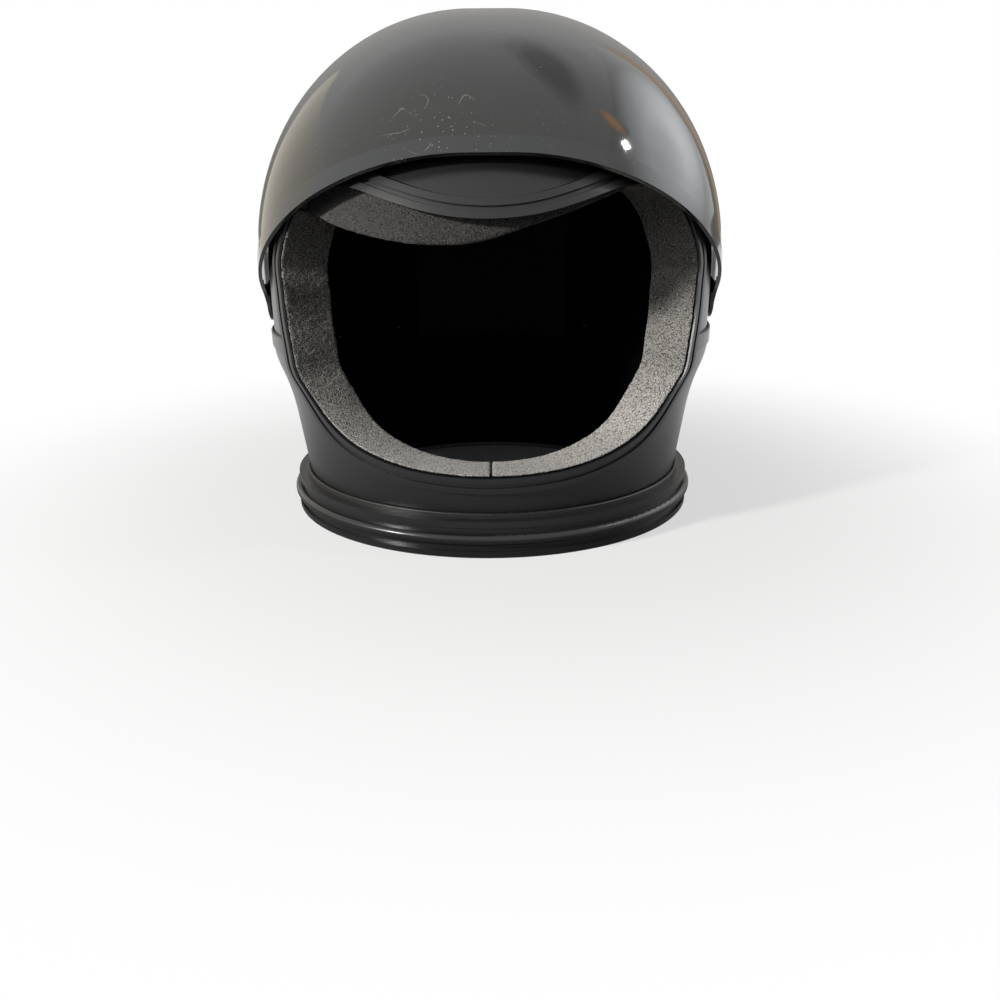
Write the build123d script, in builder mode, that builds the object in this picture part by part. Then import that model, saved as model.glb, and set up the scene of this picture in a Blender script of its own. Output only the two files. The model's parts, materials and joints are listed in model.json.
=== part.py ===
from build123d import *
from math import asin, atan2, cos, degrees, hypot, radians, sin, sqrt, tan
import os

# A costume astronaut helmet: a moulded two-part shell on a stepped neck ring, a rim round the
# face opening, a smoked visor that swings on two side pivots, and a foam lining.
# Millimetres. Z is up, the face looks along -Y, and the origin is the middle of the base.
# Left and right are the wearer's: left is +X.

os.makedirs("parts", exist_ok=True)

# Fits
fit_gap = 0.3
bore_gap = 0.06
thread_gap = 0.05
overrun = 40.0

# Shell
wall = 2.5
neck_radius = 126.5
belt_radius = 144.5
dome_radius = 142.5
seam_height = 109.0
belt_top = 118.0
dome_spring = 152.0
dome_top = 277.0
dome_side_radius = 110.0
belt_chamfer = 0.8
lap_height = 5.0
lap_thickness = 1.6
# The neck: a straight cone, then an arc that flares out and an arc that turns up to the seam
cone_height = 65.0
cone_radius = 132.4
flare_height = 95.0
flare_radius = 140.4
neck_top_radius = 143.7

# Face opening, as seen from the front: half of it, from the chin to the middle of the brow
opening_half_width = 120.3
opening_chin = 48.0
opening_height = 158.5
opening_shares = (
    (0.0, 0.0),
    (0.222, 0.005),
    (0.457, 0.022),
    (0.623, 0.053),
    (0.765, 0.095),
    (0.865, 0.161),
    (0.92, 0.235),
    (0.953, 0.31),
    (0.979, 0.41),
    (0.995, 0.53),
    (1.0, 0.643),
    (0.997, 0.74),
    (0.984, 0.84),
    (0.931, 0.927),
    (0.83, 0.985),
    (0.7, 0.999),
    (0.58, 0.973),
    (0.44, 0.942),
    (0.23, 0.905),
    (0.0, 0.892),
)

# Rim round the face opening
rim_width = 9.6
rim_proud = 3.2
rim_inside = 1.8
rim_web = 2.2
rim_edge_gap = 1.0
rim_bead_share = 0.36
rim_groove_depth = 1.3

# Neck ring, from the foot up
ring_bore_radius = 114.0
ring_flange = 3.0
ring_skirt_radius = 130.0
ring_groove_radius = 133.0
ring_foot_radius = 136.0
ring_band_radius = 138.0
ring_lip_radius = 135.0
foot_height = 3.7
band_bottom = 8.0
band_top = 14.5
lip_bottom = 18.5
ring_top = 22.3
ring_ledge = 2.5
band_round = 2.9
lip_round = 1.5

# Seal bead where the neck leaves the ring
seal_width = 1.8
seal_height = 3.2

# Visor
visor_half_width = 147.2
visor_radius = 146.5
visor_corner_radius = 137.0
visor_wall = 2.2
border_width = 9.0
border_step = 0.6
pivot_height = 132.0
visor_front_reach = 129.5
visor_front_height = 220.5
visor_front_slope = 35.4
visor_front_sag = 5.5
visor_rear_slope = 54.5
ear_radius = 13.0
ear_blend = 20.0
ear_face = 146.3

# Visor pivots
pivot_shoulder_radius = 4.0
pivot_head_radius = 7.5
pivot_head_height = 1.1
pivot_thread_radius = 2.5
pivot_slot_width = 1.4
pivot_slot_depth = 0.6
washer_radius = 10.5
pad_radius = 12.0
pad_face = 142.7
inner_pad_radius = 9.5
inner_pad_depth = 1.5
backing_thickness = 1.0
nut_across_flats = 9.0
nut_height = 4.0
thread_end = 1.0

# Screws
screw_radius = 1.7
screw_head_radius = 3.3
screw_head_height = 1.4
screw_recess_width = 0.9
screw_recess_length = 4.4
screw_recess_depth = 0.8
boss_radius = 4.2
ring_boss_height = 12.0
ring_screw_length = 10.0
ring_screw_count = 6
seam_boss_height = 12.0
seam_screw_length = 20.0
seam_screw_angles = (98.0, 122.0, 147.0)

# Foam lining
foam_thickness = 25.0
foam_edge_rise = 2.0
foam_edge_gap = 0.5
foam_proud = 2.1
foam_back = -25.0
foam_foot = 28.0
foam_top = 212.0
foam_seam = 0.4
pad_foam_thickness = 16.0
crown_pad_radius = 70.0
rear_pad_half_width = 58.0
rear_pad_bottom = 88.0
rear_pad_top = 190.0
# The brow strip hangs lower on the wearer's right: shares of the opening's half width and height
brow_strip_thickness = 20.0
brow_strip_top_share = 1.05
brow_strip_shares = (
    (-0.931, 0.92),
    (-0.831, 0.893),
    (-0.747, 0.867),
    (-0.539, 0.828),
    (-0.391, 0.811),
    (-0.248, 0.805),
    (-0.107, 0.808),
    (0.032, 0.827),
    (0.171, 0.859),
    (0.313, 0.891),
    (0.457, 0.926),
    (0.611, 0.967),
    (0.698, 1.0),
)

neck_knots = (
    (ring_top, neck_radius),
    (cone_height, cone_radius),
    (flare_height, flare_radius),
    (seam_height, neck_top_radius),
)

# The dome's section: an arc up from the side that runs on into an arc about the middle
dome_rise = dome_top - dome_spring
side_centre = dome_radius - dome_side_radius
crown_radius = (side_centre ** 2 + dome_rise ** 2 - dome_side_radius ** 2) / (2 * (dome_rise - dome_side_radius))
crown_centre = dome_top - crown_radius
crown_slope = atan2(dome_spring - crown_centre, side_centre)
crown_join = crown_centre + crown_radius * sin(crown_slope)


def body_radius(height):
    """Outer radius of the shell, without the belt, at a height."""
    if height >= crown_join:
        return sqrt(crown_radius ** 2 - (height - crown_centre) ** 2)
    if height >= dome_spring:
        return side_centre + sqrt(dome_side_radius ** 2 - (height - dome_spring) ** 2)
    for (low, low_radius), (high, high_radius) in zip(neck_knots, neck_knots[1:]):
        if height <= high:
            share = (height - low) / (high - low)
            return low_radius + share * (high_radius - low_radius)
    return dome_radius


def body(grow=0.0, belt=True):
    """The helmet's body as one solid of revolution, grown or shrunk by a thickness."""
    foot, cone_end, flare_end, neck_end = [(radius + grow, height) for height, radius in neck_knots]
    belt_out = belt_radius + grow
    dome_out = dome_radius + grow
    crown = crown_radius + grow
    join = (crown * cos(crown_slope), crown_centre + crown * sin(crown_slope))
    with BuildPart() as solid:
        with BuildSketch(Plane.XZ):
            with BuildLine():
                Polyline((0, dome_top + grow), (0, 0), (foot[0], 0), foot)
                cone = Line(foot, cone_end)
                flare = TangentArc(cone_end, flare_end, tangent=cone % 1)
                if belt:
                    TangentArc(flare_end, neck_end, tangent=flare % 1)
                    Polyline(
                        neck_end,
                        (belt_out, seam_height),
                        (belt_out, belt_top + grow - belt_chamfer),
                        (belt_out - belt_chamfer, belt_top + grow),
                        (dome_out, belt_top + grow),
                        (dome_out, dome_spring),
                    )
                else:
                    TangentArc(flare_end, (dome_out, seam_height), tangent=flare % 1)
                    Line((dome_out, seam_height), (dome_out, dome_spring))
                TangentArc((dome_out, dome_spring), join, tangent=(0, 1))
                CenterArc((0, crown_centre), crown, degrees(crown_slope), 90 - degrees(crown_slope))
            make_face()
        revolve(axis=Axis.Z)
    return solid.part


def front_points(shares):
    """Places across and up, from shares of the face opening's half width and height."""
    return [(x * opening_half_width, opening_chin + z * opening_height) for x, z in shares]


def opening_points(offset):
    """The opening's outline as angles and heights, moved out along the shell's surface."""
    half = front_points(opening_shares)
    loop = half + [(-x, z) for x, z in reversed(half[1:-1])]
    flat = [(body_radius(z) * asin(x / body_radius(z)), z) for x, z in loop]
    count = len(flat)
    points = []
    for i, (along, height) in enumerate(flat):
        before = flat[i - 1]
        after = flat[(i + 1) % count]
        run = after[0] - before[0]
        rise = after[1] - before[1]
        length = hypot(run, rise)
        points.append((
            (along + offset * rise / length) / body_radius(height),
            height - offset * run / length,
        ))
    return points


def opening_cutter(offset=0.0, near=overrun, far=4 * overrun):
    """A solid through the face opening whose walls stand square to the shell all round."""
    points = opening_points(offset)
    with BuildPart() as cutter:
        for depth in (near, far):
            with BuildSketch(Plane.XZ.offset(depth)):
                with BuildLine():
                    Spline(*[(depth * tan(angle), height) for angle, height in points], periodic=True)
                make_face()
        loft(ruled=True)
    return cutter.part


def polar(radius, angle, height=0.0):
    """A place at an angle round from the front of the helmet."""
    return (radius * sin(radians(angle)), -radius * cos(radians(angle)), height)


def slab(low, high):
    """Everything between two heights."""
    with BuildPart() as solid:
        with BuildSketch(Plane.XY.offset(low)):
            Circle(belt_radius + overrun)
        extrude(amount=high - low)
    return solid.part


def seam_bosses(low, high, grow=0.0):
    """Upright screw bosses round the seam, each with a rib out to the wall."""
    with BuildPart() as solid:
        with BuildSketch(Plane.XY.offset(low)):
            for angle in seam_angles:
                with Locations(Location(polar(seam_screw_circle, angle), (0, 0, angle - 90))):
                    Circle(boss_radius + grow)
                    Rectangle(rib_length, wall + 2 * grow, align=(Align.MIN, Align.CENTER))
        extrude(amount=high - low)
    return solid.part


def posts(places, low, high, radius):
    """Upright cylinders of one radius at a list of places."""
    with BuildPart() as solid:
        with BuildSketch(Plane.XY.offset(low)):
            with Locations(*places):
                Circle(radius)
        extrude(amount=high - low)
    return solid.part


def lap_ring(grow=0.0):
    """The thin ring inside the seam that lines the two shells up, grown by a clearance."""
    outside = belt_radius - wall - fit_gap
    with BuildPart() as solid:
        with BuildSketch(Plane.XY.offset(seam_height - lap_height - grow)):
            Circle(outside + grow)
            Circle(outside - lap_thickness - grow, mode=Mode.SUBTRACT)
        extrude(amount=2 * (lap_height + grow))
    return solid.part


def pivot_plane(distance, side):
    """The plane square to the visor's pivot axis, facing out, at a distance from the middle."""
    return Plane(origin=(side * distance, 0, pivot_height), x_dir=(0, 1, 0), z_dir=(side, 0, 0))


def finish(piece, name):
    """Name a finished piece and write it."""
    piece.part.label = name
    export_step(piece.part, f"parts/{name}.step")


# Places and solids that several pieces share
seam_angles = [side * angle for side in (1, -1) for angle in seam_screw_angles]
seam_bottom = seam_height - seam_boss_height
seam_top = seam_height + seam_boss_height
seam_screw_circle = body_radius(seam_bottom - screw_head_height) - wall - fit_gap - screw_head_radius
seam_places = [polar(seam_screw_circle, angle) for angle in seam_angles]
rib_length = belt_radius - seam_screw_circle
ring_screw_circle = neck_radius - wall - boss_radius + fit_gap
ring_places = [
    polar(ring_screw_circle, (i + 0.5) * 360 / ring_screw_count) for i in range(ring_screw_count)
]
body_outside = body()
body_inside = body(-wall)
body_middle = body(-wall / 2)
lining_outside = body(-(wall + fit_gap), belt=False)
lining_behind_rim = body(-(wall + 2 * fit_gap + rim_inside), belt=False)
opening_edge = opening_cutter(rim_web + rim_edge_gap)
below_seam = slab(0, seam_height)
above_seam = slab(seam_height, dome_top + overrun)
inner_pad_face = dome_radius - wall - inner_pad_depth

# Upper shell
upper_bosses = seam_bosses(seam_height, seam_top) & body_middle
upper_pilots = posts(seam_places, seam_height, seam_top - wall, screw_radius + thread_gap)
with BuildPart() as upper_shell:
    add(body_outside)
    add(body_inside, mode=Mode.SUBTRACT)
    add(above_seam, mode=Mode.INTERSECT)
    add(opening_edge, mode=Mode.SUBTRACT)
    for side in (1, -1):
        with BuildSketch(pivot_plane(pad_face, side)):
            Circle(pad_radius)
        extrude(amount=-(pad_face - dome_radius + wall / 2))
        with BuildSketch(pivot_plane(inner_pad_face, side)):
            Circle(inner_pad_radius)
        extrude(amount=inner_pad_depth + wall / 2)
        with BuildSketch(pivot_plane(pad_face, side)):
            Circle(pivot_shoulder_radius + bore_gap)
        extrude(amount=-overrun, mode=Mode.SUBTRACT)
    add(upper_bosses)
    add(upper_pilots, mode=Mode.SUBTRACT)
finish(upper_shell, "upper_shell")

# Lower shell
lap_notches = seam_bosses(seam_height, seam_top, fit_gap)
lap_clearance = opening_cutter(rim_width + fit_gap)
lap = lap_ring() - lap_notches - lap_clearance
lower_bosses = seam_bosses(seam_bottom, seam_height) & body_middle
lower_holes = posts(seam_places, seam_bottom, seam_height, screw_radius + fit_gap)
ring_bosses = posts(ring_places, ring_flange, ring_flange + ring_boss_height, boss_radius)
ring_pilots = posts(
    ring_places, ring_flange, ring_flange + ring_boss_height - wall, screw_radius + thread_gap
)
with BuildPart() as lower_shell:
    add(body_outside)
    add(body_inside, mode=Mode.SUBTRACT)
    add(slab(ring_flange, seam_height), mode=Mode.INTERSECT)
    add(opening_edge, mode=Mode.SUBTRACT)
    add(lap)
    add(lower_bosses)
    add(lower_holes, mode=Mode.SUBTRACT)
    add(ring_bosses)
    add(ring_pilots, mode=Mode.SUBTRACT)
finish(lower_shell, "lower_shell")

# Rim round the face opening, a channel that grips the edge of the shell
bead_width = rim_bead_share * rim_width
rim_layer = body(rim_proud, belt=False) - body(-(wall + fit_gap + rim_inside), belt=False)
rim_slot = body(fit_gap) - body(-(wall + fit_gap)) - opening_cutter(rim_web)
rim_groove = opening_cutter(rim_width - bead_width) - opening_cutter(bead_width)
rim_groove = rim_groove - body(rim_proud - rim_groove_depth, belt=False)
whole_rim = (rim_layer & opening_cutter(rim_width)) - opening_cutter() - rim_slot - rim_groove

with BuildPart() as face_rim_upper:
    add(whole_rim)
    add(above_seam, mode=Mode.INTERSECT)
finish(face_rim_upper, "face_rim_upper")

with BuildPart() as face_rim_lower:
    add(whole_rim)
    add(below_seam, mode=Mode.INTERSECT)
finish(face_rim_lower, "face_rim_lower")

# Neck ring: a base flange, a stepped skirt and a ledge
screw_holes = posts(ring_places, 0, ring_flange, screw_radius + fit_gap)
screw_seats = posts(ring_places, 0, screw_head_height + fit_gap, screw_head_radius + fit_gap)
with BuildPart() as neck_ring:
    with BuildSketch(Plane.XZ) as ring_section:
        with BuildLine():
            Polyline(
                (ring_bore_radius, 0),
                (ring_foot_radius, 0),
                (ring_foot_radius, foot_height),
                (ring_groove_radius, foot_height),
                (ring_groove_radius, band_bottom),
                (ring_band_radius, band_bottom),
                (ring_band_radius, band_top),
                (ring_groove_radius, band_top),
                (ring_groove_radius, lip_bottom),
                (ring_lip_radius, lip_bottom),
                (ring_lip_radius, ring_top),
                (neck_radius + fit_gap, ring_top),
                (neck_radius + fit_gap, ring_top - ring_ledge),
                (ring_skirt_radius, ring_top - ring_ledge),
                (ring_skirt_radius, ring_flange),
                (ring_bore_radius, ring_flange),
                (ring_bore_radius, 0),
            )
        make_face()
        corners = ring_section.vertices()
        fillet(corners.filter_by(lambda v: abs(v.X - ring_band_radius) < fit_gap), band_round)
        fillet(corners.filter_by(lambda v: abs(v.X - ring_lip_radius) < fit_gap), lip_round)
        fillet(corners.filter_by(lambda v: abs(v.X - ring_foot_radius) < fit_gap and v.Y > 0), lip_round)
    revolve(axis=Axis.Z)
    add(screw_holes, mode=Mode.SUBTRACT)
    add(screw_seats, mode=Mode.SUBTRACT)
finish(neck_ring, "neck_ring")

# Seal bead where the neck leaves the ring
with BuildPart() as neck_seal:
    with BuildSketch(Plane.XZ) as seal_section:
        with Locations((body_radius(ring_top + seal_height) + fit_gap, ring_top)):
            Rectangle(seal_width, seal_height, align=(Align.MIN, Align.MIN))
        fillet(seal_section.vertices().group_by(Axis.Y)[-1], seal_width / 3)
    revolve(axis=Axis.Z)
finish(neck_seal, "neck_seal")


def visor_body(grow=0.0):
    """The visor's form, filled: turned about the ear-to-ear axis, a little squarer than a ball."""
    corner = visor_corner_radius + grow
    across = visor_half_width - visor_corner_radius
    up = dome_spring + visor_radius - visor_corner_radius
    with BuildPart() as solid:
        with BuildSketch(Plane.XZ):
            with BuildLine():
                Line((across + corner, dome_spring), (across + corner, up))
                TangentArc((across + corner, up), (across, up + corner), tangent=(0, 1))
                Line((across, up + corner), (0, up + corner))
                mirror(about=Plane.YZ)
                Line((across + corner, dome_spring), (-(across + corner), dome_spring))
            make_face()
        revolve(axis=Axis((0, 0, dome_spring), (1, 0, 0)))
    return solid.part


def visor_outline(inset=0.0):
    """Everything above the visor's edges, seen from the side, with round ears at the pivots."""
    reach = 2 * visor_radius
    apex_height = visor_front_height - visor_front_reach * tan(radians(visor_front_slope))
    rear = radians(visor_rear_slope)
    with BuildPart() as solid:
        with BuildSketch(Plane.YZ) as outline:
            with BuildLine():
                edge = SagittaArc(
                    (0, apex_height), (-visor_front_reach, visor_front_height), visor_front_sag
                )
                onward = edge % 1
                Polyline(
                    edge @ 1,
                    edge @ 1 + onward * reach,
                    (reach * cos(rear), apex_height + reach * sin(rear)),
                    (0, apex_height),
                )
            make_face()
            with Locations((0, pivot_height)):
                Circle(ear_radius)
            corners = outline.vertices().filter_by(
                lambda v: abs(hypot(v.X, v.Y - pivot_height) - ear_radius) < fit_gap and abs(v.X) > fit_gap
            )
            fillet(corners, ear_blend)
            if inset:
                offset(amount=-inset, mode=Mode.REPLACE)
        extrude(amount=visor_half_width + overrun, both=True)
    return solid.part


# Visor
ear_inside = ear_face - visor_wall
visor_outside = visor_body()
visor_inside = visor_body(-visor_wall)
visor_edges = visor_outline()
panel_recess = (visor_outside - visor_body(-border_step)) & visor_outline(border_width)
visor_shell = ((visor_outside - visor_inside) & visor_edges) - panel_recess
with BuildPart() as visor:
    add(visor_shell)
    for side in (1, -1):
        with BuildSketch(pivot_plane(ear_inside, side)):
            Circle(ear_radius)
        extrude(amount=visor_wall)
        with BuildSketch(pivot_plane(ear_inside, side)):
            Circle(ear_radius)
        extrude(amount=-overrun, mode=Mode.SUBTRACT)
        with BuildSketch(pivot_plane(ear_face, side)):
            Circle(pivot_head_radius + fit_gap)
        extrude(amount=overrun, mode=Mode.SUBTRACT)
        with BuildSketch(pivot_plane(ear_face, side)):
            Circle(pivot_shoulder_radius + bore_gap)
        extrude(amount=-overrun, mode=Mode.SUBTRACT)
finish(visor, "visor")

# Visor pivots: a shoulder screw, a friction washer outside the shell, a washer and a nut inside
for side, name in ((1, "left"), (-1, "right")):
    with BuildPart() as pivot_screw:
        with BuildSketch(pivot_plane(ear_face + bore_gap, side)):
            Circle(pivot_head_radius)
        extrude(amount=pivot_head_height)
        chamfer(pivot_screw.edges().sort_by(Axis.X)[-1 if side > 0 else 0], pivot_head_height / 2)
        with BuildSketch(pivot_plane(ear_face + bore_gap, side)):
            Circle(pivot_shoulder_radius)
        extrude(amount=-(ear_face + bore_gap - inner_pad_face))
        with BuildSketch(pivot_plane(inner_pad_face, side)):
            Circle(pivot_thread_radius)
        extrude(amount=-(backing_thickness + nut_height + thread_end))
        with BuildSketch(pivot_plane(ear_face + bore_gap + pivot_head_height, side)):
            Rectangle(2 * pivot_head_radius, pivot_slot_width)
        extrude(amount=-pivot_slot_depth, mode=Mode.SUBTRACT)
    finish(pivot_screw, "pivot_screw_" + name)

    with BuildPart() as friction_washer:
        with BuildSketch(pivot_plane(pad_face + bore_gap, side)):
            Circle(washer_radius)
            Circle(pivot_shoulder_radius + bore_gap, mode=Mode.SUBTRACT)
        extrude(amount=ear_inside - pad_face - 2 * bore_gap)
    finish(friction_washer, "friction_washer_" + name)

    with BuildPart() as backing_washer:
        with BuildSketch(pivot_plane(inner_pad_face - backing_thickness, side)):
            Circle(inner_pad_radius)
            Circle(pivot_thread_radius + thread_gap, mode=Mode.SUBTRACT)
        extrude(amount=backing_thickness)
    finish(backing_washer, "backing_washer_" + name)

    with BuildPart() as pivot_nut:
        with BuildSketch(pivot_plane(inner_pad_face - backing_thickness - nut_height, side)):
            RegularPolygon(nut_across_flats / 2, 6, major_radius=False)
            Circle(pivot_thread_radius + thread_gap, mode=Mode.SUBTRACT)
        extrude(amount=nut_height)
    finish(pivot_nut, "pivot_nut_" + name)


def screws(places, seat, length):
    """Pan-head screws that point up at a list of places, their heads below the seat height."""
    with BuildPart() as group:
        with BuildSketch(Plane.XY.offset(seat - screw_head_height)):
            with Locations(*places):
                Circle(screw_head_radius)
        extrude(amount=screw_head_height)
        chamfer(group.edges().group_by(Axis.Z)[0], screw_head_height / 3)
        with BuildSketch(Plane.XY.offset(seat)):
            with Locations(*places):
                Circle(screw_radius)
        extrude(amount=length)
        with BuildSketch(Plane.XY.offset(seat - screw_head_height)):
            with Locations(*places):
                Rectangle(screw_recess_length, screw_recess_width)
                Rectangle(screw_recess_width, screw_recess_length)
        extrude(amount=screw_recess_depth, mode=Mode.SUBTRACT)
    return group


# Screws up through the ring's flange into the neck, and up across the seam
finish(screws(ring_places, screw_head_height + fit_gap, ring_screw_length), "ring_screws")
finish(screws(seam_places, seam_bottom, seam_screw_length), "seam_screws")


def brow_region(grow, top):
    """Everything above the brow strip's lower edge and below a height, seen from the front."""
    spread = 1 + grow / opening_half_width
    edge = [(x * spread, z - grow) for x, z in front_points(brow_strip_shares)]
    first = edge[0]
    last = edge[-1]
    with BuildPart() as solid:
        with BuildSketch(Plane.XZ):
            with BuildLine():
                Spline(*edge)
                Polyline(last, (last[0], top), (first[0], top), first)
            make_face()
        extrude(amount=belt_radius + overrun)
    return solid.part


def behind(plane_y):
    """Everything behind a plane across the helmet."""
    with BuildPart() as solid:
        with BuildSketch(Plane.XZ.offset(-plane_y)):
            with Locations((0, dome_spring)):
                Rectangle(4 * belt_radius, 4 * belt_radius)
        extrude(amount=-(2 * belt_radius))
    return solid.part


def half(side):
    """Everything on one side of the middle, less half the gap where the cheek strips meet."""
    with BuildPart() as solid:
        with BuildSketch(Plane.YZ.offset(side * foam_seam / 2)):
            with Locations((0, dome_spring)):
                Rectangle(4 * belt_radius, 4 * belt_radius)
        extrude(amount=side * 2 * belt_radius)
    return solid.part


# Foam round the face opening: two cheek strips that meet under the chin, and a brow strip
cheek_inside = body(-(wall + fit_gap + foam_thickness), belt=False)
brow_top = front_points([(0, brow_strip_top_share)])[0][1]
edge_in_opening = body(foam_edge_rise, belt=False) & opening_cutter(-foam_edge_gap)
cheek_lining = (lining_behind_rim + edge_in_opening) & slab(foam_foot, foam_top)
cheek_lining = cheek_lining - behind(foam_back) - cheek_inside
cheek_lining = cheek_lining - opening_cutter(-foam_proud) - brow_region(fit_gap, dome_top + overrun)
for side, name in ((1, "left"), (-1, "right")):
    this_half = half(side)
    with BuildPart() as cheek_foam:
        add(cheek_lining)
        add(this_half, mode=Mode.INTERSECT)
    finish(cheek_foam, "cheek_foam_" + name)

brow_layer = lining_behind_rim - body(-(wall + fit_gap + brow_strip_thickness), belt=False)
brow_outline = brow_region(0, brow_top)
with BuildPart() as brow_foam:
    add(brow_layer)
    add(brow_outline, mode=Mode.INTERSECT)
finish(brow_foam, "brow_foam")

# Foam pads on the crown and at the back of the head
pad_inside = body(-(wall + fit_gap + pad_foam_thickness), belt=False)
crown_column = posts([(0, 0)], dome_spring, dome_top, crown_pad_radius) & lining_outside
with BuildPart() as crown_foam:
    add(crown_column)
    add(pad_inside, mode=Mode.SUBTRACT)
finish(crown_foam, "crown_foam")

lap_room = lap_ring(fit_gap)
with BuildPart() as rear_foam:
    add(lining_outside)
    add(pad_inside, mode=Mode.SUBTRACT)
    add(lap_room, mode=Mode.SUBTRACT)
    with BuildSketch(Plane.XZ):
        with Locations((0, (rear_pad_bottom + rear_pad_top) / 2)):
            Rectangle(2 * rear_pad_half_width, rear_pad_top - rear_pad_bottom)
    extrude(amount=-(belt_radius + overrun), mode=Mode.INTERSECT)
finish(rear_foam, "rear_foam")
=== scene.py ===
import json
from math import hypot, radians

import bpy
from mathutils import Matrix, Vector, noise

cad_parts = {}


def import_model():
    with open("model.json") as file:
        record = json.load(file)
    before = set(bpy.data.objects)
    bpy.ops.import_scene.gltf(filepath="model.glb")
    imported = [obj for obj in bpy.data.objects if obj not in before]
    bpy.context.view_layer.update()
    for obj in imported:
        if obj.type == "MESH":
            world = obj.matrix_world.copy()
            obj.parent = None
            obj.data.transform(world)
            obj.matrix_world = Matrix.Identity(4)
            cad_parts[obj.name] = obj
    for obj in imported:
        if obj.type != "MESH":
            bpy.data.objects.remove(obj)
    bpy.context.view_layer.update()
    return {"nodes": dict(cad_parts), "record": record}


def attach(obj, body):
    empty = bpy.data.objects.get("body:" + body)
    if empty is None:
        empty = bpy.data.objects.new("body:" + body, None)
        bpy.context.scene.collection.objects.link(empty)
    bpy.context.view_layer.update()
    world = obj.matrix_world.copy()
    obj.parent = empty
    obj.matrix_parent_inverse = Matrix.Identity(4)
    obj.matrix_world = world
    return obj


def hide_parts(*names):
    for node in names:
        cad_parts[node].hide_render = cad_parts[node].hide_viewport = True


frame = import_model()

MM = 0.001

# Camera, in metres and degrees
CAMERA_PLACE = (0.0046, -0.6843, 0.2204)
CAMERA_PITCH = 24.31
CAMERA_ROLL = -0.45
CAMERA_LENS = 35.68
CAMERA_SENSOR = 36.0
CAMERA_SHIFT_UP = 0.1

# Lights: direction from the middle of the helmet (right, back, up), distance, size, power, colour, and
# whether the gloss mirrors it
LIGHTS = {
    "sun_left": ((-0.78, -0.52, 0.34), 2.2, 0.2, 46.0, (1.0, 0.975, 0.94), True),
    "bounce_left": ((-0.84, -0.54, 0.1), 2.0, 0.6, 4.5, (1.0, 0.97, 0.93), False),
    "lamp_right": ((0.68, -0.08, 0.62), 1.5, 0.07, 2.0, (1.0, 0.98, 0.95), True),
}
WORLD_LIGHT = 0.16

# The room and the carton's top that the gloss mirrors: middle of each card, width, height, which way
# its colour changes, and the colours at the start and at the end
CARDS = {
    "room_back": ((0.0, 2.8, 1.2), 7.0, 3.6, "up", (0.28, 0.265, 0.245), (1.0, 1.0, 1.0)),
    "wall_left": ((-2.1, 1.3, 0.7), 2.4, 1.9, "up", (1.0, 0.93, 0.8), (1.1, 1.03, 0.92)),
    "door_right": ((1.15, 2.2, 0.8), 0.3, 2.0, "up", (0.5, 0.36, 0.25), (0.8, 0.66, 0.52)),
    "wall_right": ((1.75, 0.65, 1.15), 2.8, 1.9, "out", (2.6, 2.65, 2.75), (0.9, 0.9, 0.9)),
    "shade_above": ((0.58, 0.42, 2.3), 2.0, 0.8, "out", (0.55, 0.55, 0.55), (1.0, 1.0, 1.0)),
    "shelf_right": ((1.35, 0.0, 1.75), 0.2, 0.5, "out", (2.3, 1.3, 0.65), (1.0, 1.0, 1.0)),
    "carton_top": ((0.0, 0.0, 0.0005), 0.62, 0.62, "out", (0.12, 0.12, 0.125), (0.8, 0.8, 0.8)),
}
# Where a card's colour starts and ends its change, in shares of the card's width and height
CARD_CHANGE_UP = (-0.2, 0.5)
CARD_CHANGE_OUT = (0.2, 0.48)
HELMET_MIDDLE = Vector((0.0, 0.0, 0.14))

# The floor, in metres: it keeps its shade near the ring and runs out to white further away
FLOOR_SIZE = 12.0
FLOOR_FADE = (0.16, 0.5)
FLOOR_LEAST_GLOW = 0.6
FLOOR_WHITE = (0.9, 0.9, 0.9)
FLOOR_UNSEEN = (0.03, 0.03, 0.03)
RING_MIDDLE = 125.0 * MM

# The shell's and the visor's form, in metres, to tell their surfaces apart
DOME_SPRING = 152.0 * MM
VISOR_FLAT = 9.5 * MM
VISOR_FLAT_ACROSS = 10.2 * MM
VISOR_CORNER = 137.0 * MM
BORDER_TOLERANCE = 0.3 * MM
FACING_IN = -0.5

# Dust: its colours, and the clump on the visor, which is full in its core and ends at its reach
DUST_ON_PLASTIC = (0.25, 0.24, 0.22)
DUST_ON_VISOR = (0.38, 0.38, 0.36)
CLUMP_PLACE = (-0.025, -0.126, 0.230)
CLUMP_CORE = 12.0 * MM
CLUMP_REACH = 40.0 * MM

# Depths of the fine textures
SKIN_DEPTH = 0.01 * MM
MARK_DEPTH = 0.03 * MM
FOAM_DEPTH = 0.5 * MM

# Foam: look, voxel in mm and rounds of smoothing of each piece
FOAMS = {
    "cheek_foam_left": ("grey_foam", 1.0, 3),
    "cheek_foam_right": ("grey_foam", 1.0, 3),
    "brow_foam": ("shaded_foam", 1.4, 3),
    "crown_foam": ("black_foam", 2.2, 4),
    "rear_foam": ("black_foam", 2.2, 4),
}
# Foam's surface: how far it lies inside its solid and how far its waves and tears go, all in mm, and
# how many waves and tears fit in a metre
FOAM_SUNK = 0.3
FOAM_WAVE_HEIGHT = 0.2
FOAM_TEAR_HEIGHT = 0.15
FOAM_WAVES = 45.0
FOAM_TEARS = 420.0
FOAM_EASE = 0.5


def link(piece):
    """Put an object into the scene."""
    bpy.context.scene.collection.objects.link(piece)
    return piece


def face_helmet(piece, axis):
    """Turn one axis of an object to the middle of the helmet."""
    piece.rotation_euler = (HELMET_MIDDLE - piece.location).to_track_quat(axis, "Y").to_euler()


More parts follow.
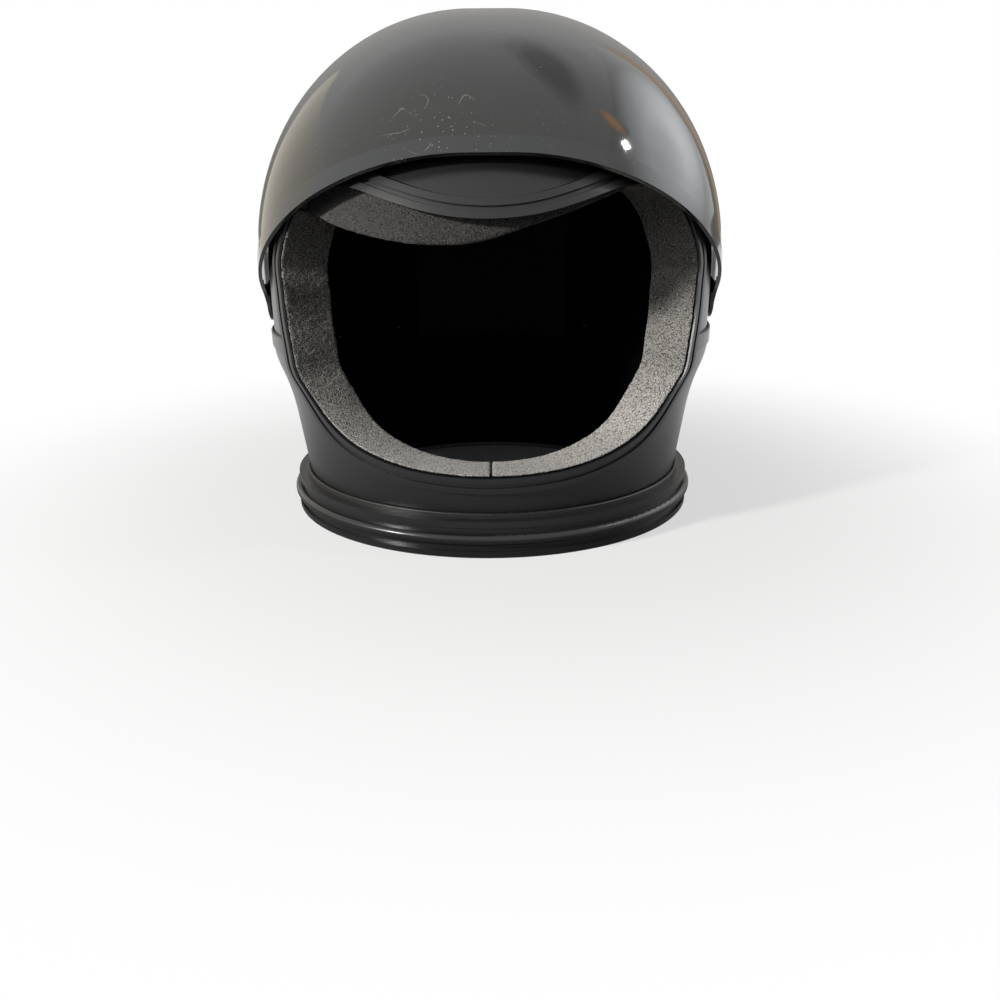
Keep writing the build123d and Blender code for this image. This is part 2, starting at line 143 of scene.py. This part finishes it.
class Graph:
    """A node tree with short helpers. Scales are counts in a metre."""

    def __init__(self, tree):
        self.nodes = tree.nodes
        self.links = tree.links

    def join(self, source, target):
        self.links.new(source, target)

    def span(self, value, low, high, out_low=0.0, out_high=1.0, kind="LINEAR"):
        """Map a value from one range to another, held at the ends."""
        node = self.nodes.new("ShaderNodeMapRange")
        node.interpolation_type = kind
        self.join(value, node.inputs["Value"])
        limits = {"From Min": low, "From Max": high, "To Min": out_low, "To Max": out_high}
        for socket, number in limits.items():
            node.inputs[socket].default_value = number
        return node.outputs["Result"]

    def calculate(self, operation, *values):
        """A sum of numbers and sockets, with the operation named as Blender names it."""
        node = self.nodes.new("ShaderNodeMath")
        node.operation = operation
        for socket, value in zip(node.inputs, values):
            if isinstance(value, float):
                socket.default_value = value
            else:
                self.join(value, socket)
        return node.outputs["Value"]

    def product(self, first, second):
        return self.calculate("MULTIPLY", first, second)

    def total(self, first, second):
        return self.calculate("ADD", first, second)

    def seen_directly(self):
        """1 for what the camera, gloss and clear materials show, 0 for the light on surfaces."""
        ray = self.nodes.new("ShaderNodeLightPath").outputs
        shown = self.calculate("MAXIMUM", ray["Is Camera Ray"], ray["Is Glossy Ray"])
        return self.calculate("MAXIMUM", shown, ray["Is Transmission Ray"])


class Shading(Graph):
    """A node material with short helpers for what the materials share."""

    def __init__(self, name):
        self.material = bpy.data.materials.new(name)
        self.material.use_nodes = True
        super().__init__(self.material.node_tree)
        self.shader = self.nodes["Principled BSDF"]
        self.place = self.nodes.new("ShaderNodeTexCoord").outputs["Object"]

    def set(self, **values):
        """Constants straight on the shader's own sockets."""
        for socket, value in values.items():
            self.shader.inputs[socket.replace("_", " ")].default_value = value

    def noise(self, scale, detail=4.0, roughness=0.6):
        node = self.nodes.new("ShaderNodeTexNoise")
        node.inputs["Scale"].default_value = scale
        node.inputs["Detail"].default_value = detail
        node.inputs["Roughness"].default_value = roughness
        self.join(self.place, node.inputs["Vector"])
        return node.outputs["Fac"]

    def cells(self, scale):
        """The distance to the middle of the nearest cell."""
        node = self.nodes.new("ShaderNodeTexVoronoi")
        node.inputs["Scale"].default_value = scale
        self.join(self.place, node.inputs["Vector"])
        return node.outputs["Distance"]

    def blend(self, share, first, second):
        """A colour between two colours, or colour sockets, by a share."""
        node = self.nodes.new("ShaderNodeMix")
        node.data_type = "RGBA"
        colours = [socket for socket in node.inputs if socket.type == "RGBA"]
        self.join(share, node.inputs[0])
        for socket, value in zip(colours, (first, second)):
            if isinstance(value, tuple):
                socket.default_value = (*value, 1.0)
            else:
                self.join(value, socket)
        return [socket for socket in node.outputs if socket.type == "RGBA"][0]

    def part(self, vector, axis):
        """One coordinate of a vector."""
        split = self.nodes.new("ShaderNodeSeparateXYZ")
        self.join(vector, split.inputs["Vector"])
        return split.outputs[axis]

    def upward(self):
        """How far a surface faces up, from -1 to 1."""
        return self.part(self.nodes.new("ShaderNodeNewGeometry").outputs["Normal"], "Z")

    def distance(self, middle):
        """The distance from a place in the object's own frame."""
        node = self.nodes.new("ShaderNodeVectorMath")
        node.operation = "DISTANCE"
        self.join(self.place, node.inputs[0])
        node.inputs[1].default_value = middle
        return node.outputs["Value"]

    def glow(self, colour):
        """Plain light of a colour or a colour socket."""
        node = self.nodes.new("ShaderNodeEmission")
        if isinstance(colour, tuple):
            node.inputs["Color"].default_value = (*colour, 1.0)
        else:
            self.join(colour, node.inputs["Color"])
        return node.outputs["Emission"]

    def mix(self, share, first, second):
        """A surface between two surfaces, by a share."""
        node = self.nodes.new("ShaderNodeMixShader")
        for socket, source in zip(node.inputs, (share, first, second)):
            self.join(source, socket)
        return node.outputs["Shader"]

    def surface(self, source):
        self.join(source, self.nodes["Material Output"].inputs["Surface"])

    def colour(self, source):
        self.join(source, self.shader.inputs["Base Color"])

    def roughness(self, source):
        self.join(source, self.shader.inputs["Roughness"])

    def bump(self, height, distance, strength=1.0):
        """Fine relief on the shader's normal."""
        node = self.nodes.new("ShaderNodeBump")
        node.inputs["Distance"].default_value = distance
        node.inputs["Strength"].default_value = strength
        self.join(height, node.inputs["Height"])
        self.join(node.outputs["Normal"], self.shader.inputs["Normal"])


def moulded_plastic(name, dark, light, roughness, grain):
    """Black moulded plastic: faint mottling, a fine skin texture and a little settled dust."""
    look = Shading(name)
    look.set(IOR=1.5)
    mottle = look.span(look.noise(scale=9.0, detail=2.0), 0.35, 0.65)
    body = look.blend(mottle, dark, light)
    specks = look.span(look.noise(scale=1400.0, detail=2.0), 0.74, 0.79)
    topside = look.product(specks, look.span(look.upward(), 0.1, 0.9, 0.02, 0.3))
    look.colour(look.blend(topside, body, DUST_ON_PLASTIC))
    wear = look.noise(scale=12.0, detail=2.0)
    look.roughness(look.span(wear, 0.3, 0.7, roughness - 0.03, roughness + 0.03))
    look.bump(look.noise(scale=grain, detail=2.0), SKIN_DEPTH)
    return look.material


def shaded_dull_inside(name, dark, light):
    """The unpolished inside of the shells: dull, and nearly black, darker than the outside shell as painted
    shade inside the helmet.
    """
    look = Shading(name)
    look.set(Roughness=0.9, Specular_IOR_Level=0.05)
    mottle = look.span(look.noise(scale=30.0), 0.35, 0.65)
    look.colour(look.blend(mottle, dark, light))
    look.bump(look.noise(scale=900.0), MARK_DEPTH)
    return look.material


def smoked_plastic(name, dark, light, gloss):
    """Glossy smoked visor plastic with a clump of dust and hairs, and a few specks elsewhere."""
    look = Shading(name)
    look.set(IOR=1.52, Coat_Weight=0.3, Coat_Roughness=0.04)
    mottle = look.span(look.noise(scale=9.0, detail=3.0), 0.3, 0.7)
    body = look.blend(mottle, dark, light)
    clump = look.span(look.distance(CLUMP_PLACE), CLUMP_CORE, CLUMP_REACH, 1.0, 0.0)
    scattered = look.span(look.noise(scale=24.0, detail=2.0), 0.52, 0.66, 0.0, 0.5)
    specks = look.span(look.cells(scale=360.0), 0.15, 0.08)
    specks = look.product(specks, look.total(scattered, clump))
    contour = look.calculate("SUBTRACT", look.noise(scale=62.0, detail=0.0), 0.5)
    threads = look.span(look.calculate("ABSOLUTE", contour), 0.007, 0.003)
    lengths = look.span(look.noise(scale=85.0, detail=1.0), 0.48, 0.54)
    hairs = look.product(look.product(threads, lengths), look.product(clump, 0.9))
    marks = look.total(look.product(specks, 0.8), look.product(hairs, 0.9))
    look.colour(look.blend(marks, body, DUST_ON_VISOR))
    haze = look.span(look.noise(scale=16.0, detail=4.0), 0.35, 0.75, gloss, gloss + 0.05)
    look.roughness(look.total(haze, look.product(marks, 0.3)))
    look.bump(marks, MARK_DEPTH)
    return look.material


def open_foam(name, dark, light, painted_top_light, glint, sheen=0.0):
    """Open-cell foam: pores darkened with painted shade, cell walls with painted glints, and upward faces
    made paler with painted light.
    """
    look = Shading(name)
    look.set(Roughness=0.9, Sheen_Weight=sheen, Sheen_Roughness=0.5, Specular_IOR_Level=0.2)
    tone = look.span(look.noise(scale=30.0, detail=5.0), 0.3, 0.7)
    # Painted light: upward faces blend towards a much paler colour, as if lit from above.
    topside = look.span(look.upward(), 0.0, 0.75)
    body = look.blend(topside, look.blend(tone, dark, light), painted_top_light)
    # Painted shade: the pores' hollows are darkened almost to black.
    pores = look.span(look.cells(scale=1050.0), 0.35, 0.8, 0.0, 0.8)
    pores_in_painted_shade = look.blend(pores, body, (0.004, 0.004, 0.004))
    glints = look.span(look.noise(scale=1500.0, detail=3.0, roughness=0.8), 0.54, 0.62)
    look.colour(look.blend(glints, pores_in_painted_shade, glint))
    height = look.total(look.product(pores, -0.8), look.product(glints, 0.7))
    look.bump(height, FOAM_DEPTH, strength=0.9)
    return look.material


def plated_steel(name, dark, light):
    """Plated steel: soft crystalline mottling."""
    look = Shading(name)
    look.set(Metallic=1.0)
    crystals = look.span(look.cells(scale=500.0), 0.1, 0.7)
    look.colour(look.blend(crystals, dark, light))
    look.roughness(look.span(look.noise(scale=180.0), 0.3, 0.7, 0.32, 0.46))
    look.bump(look.noise(scale=1200.0), MARK_DEPTH)
    return look.material


def grey(level):
    """A colour without a hue."""
    return (level, level, level)


# Each look: what makes it, its dark and light colour, and the further values that its maker takes
LOOKS = {
    "black_shell": (moulded_plastic, (0.012, 0.0125, 0.013), (0.017, 0.0175, 0.018), 0.3, 1500.0),
    "black_rim": (moulded_plastic, (0.011, 0.0115, 0.012), (0.015, 0.0155, 0.016), 0.38, 1700.0),
    "black_ring": (moulded_plastic, (0.012, 0.0125, 0.013), (0.018, 0.0185, 0.019), 0.26, 1600.0),
    "black_seal": (moulded_plastic, grey(0.01), grey(0.015), 0.45, 900.0),
    "black_nylon": (moulded_plastic, grey(0.014), grey(0.02), 0.42, 1300.0),
    "smoked_visor": (smoked_plastic, (0.017, 0.019, 0.017), (0.023, 0.025, 0.022), 0.06),
    "visor_border": (smoked_plastic, (0.026, 0.029, 0.03), (0.034, 0.037, 0.037), 0.1),
    "shell_inside": (shaded_dull_inside, (0.0015, 0.0015, 0.0017), (0.003, 0.003, 0.0034)),
    # Each foam: its dark and light colour, the much paler colour painted on upward faces as light, the colour
    # of its painted glints, and its sheen where given.
    "grey_foam": (
        open_foam, (0.165, 0.157, 0.147), (0.265, 0.255, 0.24), (0.75, 0.725, 0.685), (1.0, 0.97, 0.93), 0.15
    ),
    # The grey foam made darker: painted shade on the brow foam.
    "shaded_foam": (
        open_foam, (0.045, 0.043, 0.041), (0.072, 0.069, 0.066), (0.09, 0.087, 0.083), (0.27, 0.26, 0.25), 0.1
    ),
    "black_foam": (open_foam, grey(0.002), grey(0.004), grey(0.005), grey(0.01)),
    "zinc_steel": (plated_steel, (0.48, 0.48, 0.5), (0.66, 0.66, 0.67)),
    "black_steel": (plated_steel, (0.015, 0.015, 0.016), (0.024, 0.024, 0.025)),
}
MATERIALS = {name: make(name, *values) for name, (make, *values) in LOOKS.items()}


def dress(piece, look):
    """Give a piece one material."""
    piece.data.materials.clear()
    piece.data.materials.append(MATERIALS[look])


slots = {part["node"]: part["material_slot"] for part in frame["record"]["subparts"]}
for node, slot in slots.items():
    dress(frame["nodes"][node], slot)


def faces_inward(polygon):
    """True for a face that looks at the middle of the helmet."""
    middle = Vector((0.0, 0.0, min(polygon.center.z, DOME_SPRING)))
    return polygon.normal.dot((polygon.center - middle).normalized()) < FACING_IN


def on_visor_border(polygon):
    """True for a face on the visor's outermost surface, which only the border reaches."""
    across = max(abs(polygon.center.x) - VISOR_FLAT_ACROSS, 0.0)
    around = hypot(polygon.center.y, polygon.center.z - DOME_SPRING) - VISOR_FLAT
    return hypot(across, around) > VISOR_CORNER - BORDER_TOLERANCE


def dress_part(node, look, chosen):
    """Give the chosen faces of a piece a second material."""
    mesh = frame["nodes"][node].data
    mesh.materials.append(MATERIALS[look])
    for polygon in mesh.polygons:
        if chosen(polygon):
            polygon.material_index = 1


# The shells' inward faces get the darker inside material, which carries painted shade.
dress_part("upper_shell", "shell_inside", faces_inward)
dress_part("lower_shell", "shell_inside", faces_inward)
dress_part("visor", "visor_border", on_visor_border)


def baked(piece):
    """Turn a piece's modifiers into plain mesh."""
    graph = bpy.context.evaluated_depsgraph_get()
    mesh = bpy.data.meshes.new_from_object(piece.evaluated_get(graph))
    piece.modifiers.clear()
    piece.data = mesh


def torn(place, normal):
    """A place on the foam's slightly uneven, torn-cell surface."""
    wave = noise.noise(place * FOAM_WAVES)
    tear = noise.noise(place * FOAM_TEARS)
    return place - normal * MM * (FOAM_SUNK + FOAM_WAVE_HEIGHT * wave + FOAM_TEAR_HEIGHT * tear)


def foam_piece(node, look, voxel, rounds):
    """A foam strip or pad cut from its solid, with soft edges and a torn surface."""
    piece = link(bpy.data.objects.new(node + "_soft", frame["nodes"][node].data.copy()))
    remesh = piece.modifiers.new("remesh", "REMESH")
    remesh.mode = "VOXEL"
    remesh.voxel_size = voxel * MM
    ease = piece.modifiers.new("ease", "SMOOTH")
    ease.factor = FOAM_EASE
    ease.iterations = rounds
    baked(piece)
    places = [torn(vertex.co, vertex.normal) for vertex in piece.data.vertices]
    for vertex, place in zip(piece.data.vertices, places):
        vertex.co = place
    for polygon in piece.data.polygons:
        polygon.use_smooth = True
    dress(piece, look)
    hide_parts(node)
    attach(piece, "helmet")


for node, values in FOAMS.items():
    foam_piece(node, *values)


def sheet(name, cuts, size):
    """A flat square grid."""
    bpy.ops.mesh.primitive_grid_add(x_subdivisions=cuts, y_subdivisions=cuts, size=size)
    piece = bpy.context.active_object
    piece.name = name
    return piece


def floor():
    """A pale floor that keeps the helmet's shadow and runs out to white, but throws no light up."""
    piece = sheet("floor", 8, FLOOR_SIZE)
    look = Shading("floor")
    look.set(Base_Color=(*FLOOR_WHITE, 1.0), Roughness=0.9, Specular_IOR_Level=0.1)
    away = look.distance((0.0, 0.0, 0.0))
    share = look.span(away, *FLOOR_FADE, FLOOR_LEAST_GLOW, 1.0, "SMOOTHSTEP")
    share = look.product(share, look.calculate("GREATER_THAN", away, RING_MIDDLE))
    shown = look.mix(share, look.shader.outputs["BSDF"], look.glow((1.0, 1.0, 1.0)))
    dull = look.nodes.new("ShaderNodeBsdfDiffuse")
    dull.inputs["Color"].default_value = (*FLOOR_UNSEEN, 1.0)
    look.surface(look.mix(look.seen_directly(), dull.outputs["BSDF"], shown))
    piece.data.materials.append(look.material)


floor()


def card(name, middle, width, height, change, first, last):
    """A card that faces the helmet and that only the gloss mirrors."""
    piece = sheet(name, 4, 1.0)
    piece.scale = (width, height, 1.0)
    piece.location = middle
    face_helmet(piece, "Z")
    look = Shading(name)
    if change == "up":
        share = look.span(look.part(look.place, "Y"), *CARD_CHANGE_UP)
    else:
        share = look.span(look.distance((0.0, 0.0, 0.0)), *CARD_CHANGE_OUT)
    look.surface(look.glow(look.blend(share, first, last)))
    piece.data.materials.append(look.material)
    piece.visible_camera = False
    piece.visible_diffuse = False
    piece.visible_shadow = False


for name, values in CARDS.items():
    card(name, *values)


def world():
    """White for what the camera and reflections see, a plain level for the light it gives."""
    scene_world = bpy.data.worlds.new("studio")
    bpy.context.scene.world = scene_world
    scene_world.use_nodes = True
    graph = Graph(scene_world.node_tree)
    background = graph.nodes["Background"]
    background.inputs["Color"].default_value = (1.0, 1.0, 1.0, 1.0)
    strength = graph.span(graph.seen_directly(), 0.0, 1.0, WORLD_LIGHT, 1.0)
    graph.join(strength, background.inputs["Strength"])


world()


def light(name, direction, distance, size, power, colour, mirrored):
    """A square soft light that looks at the helmet."""
    data = bpy.data.lights.new(name, "AREA")
    data.size = size
    data.energy = power
    data.color = colour
    piece = link(bpy.data.objects.new(name, data))
    piece.location = HELMET_MIDDLE + Vector(direction).normalized() * distance
    face_helmet(piece, "-Z")
    piece.visible_glossy = mirrored


for name, values in LIGHTS.items():
    light(name, *values)


def camera():
    """The photograph's view."""
    data = bpy.data.cameras.new("camera")
    data.sensor_width = CAMERA_SENSOR
    data.lens = CAMERA_LENS
    data.shift_y = CAMERA_SHIFT_UP
    piece = link(bpy.data.objects.new("camera", data))
    pitch = Matrix.Rotation(radians(90.0 - CAMERA_PITCH), 4, "X")
    roll = Matrix.Rotation(radians(CAMERA_ROLL), 4, "Z")
    piece.matrix_world = Matrix.Translation(CAMERA_PLACE) @ pitch @ roll
    bpy.context.scene.camera = piece


camera()
bpy.context.scene.view_settings.view_transform = "Standard"
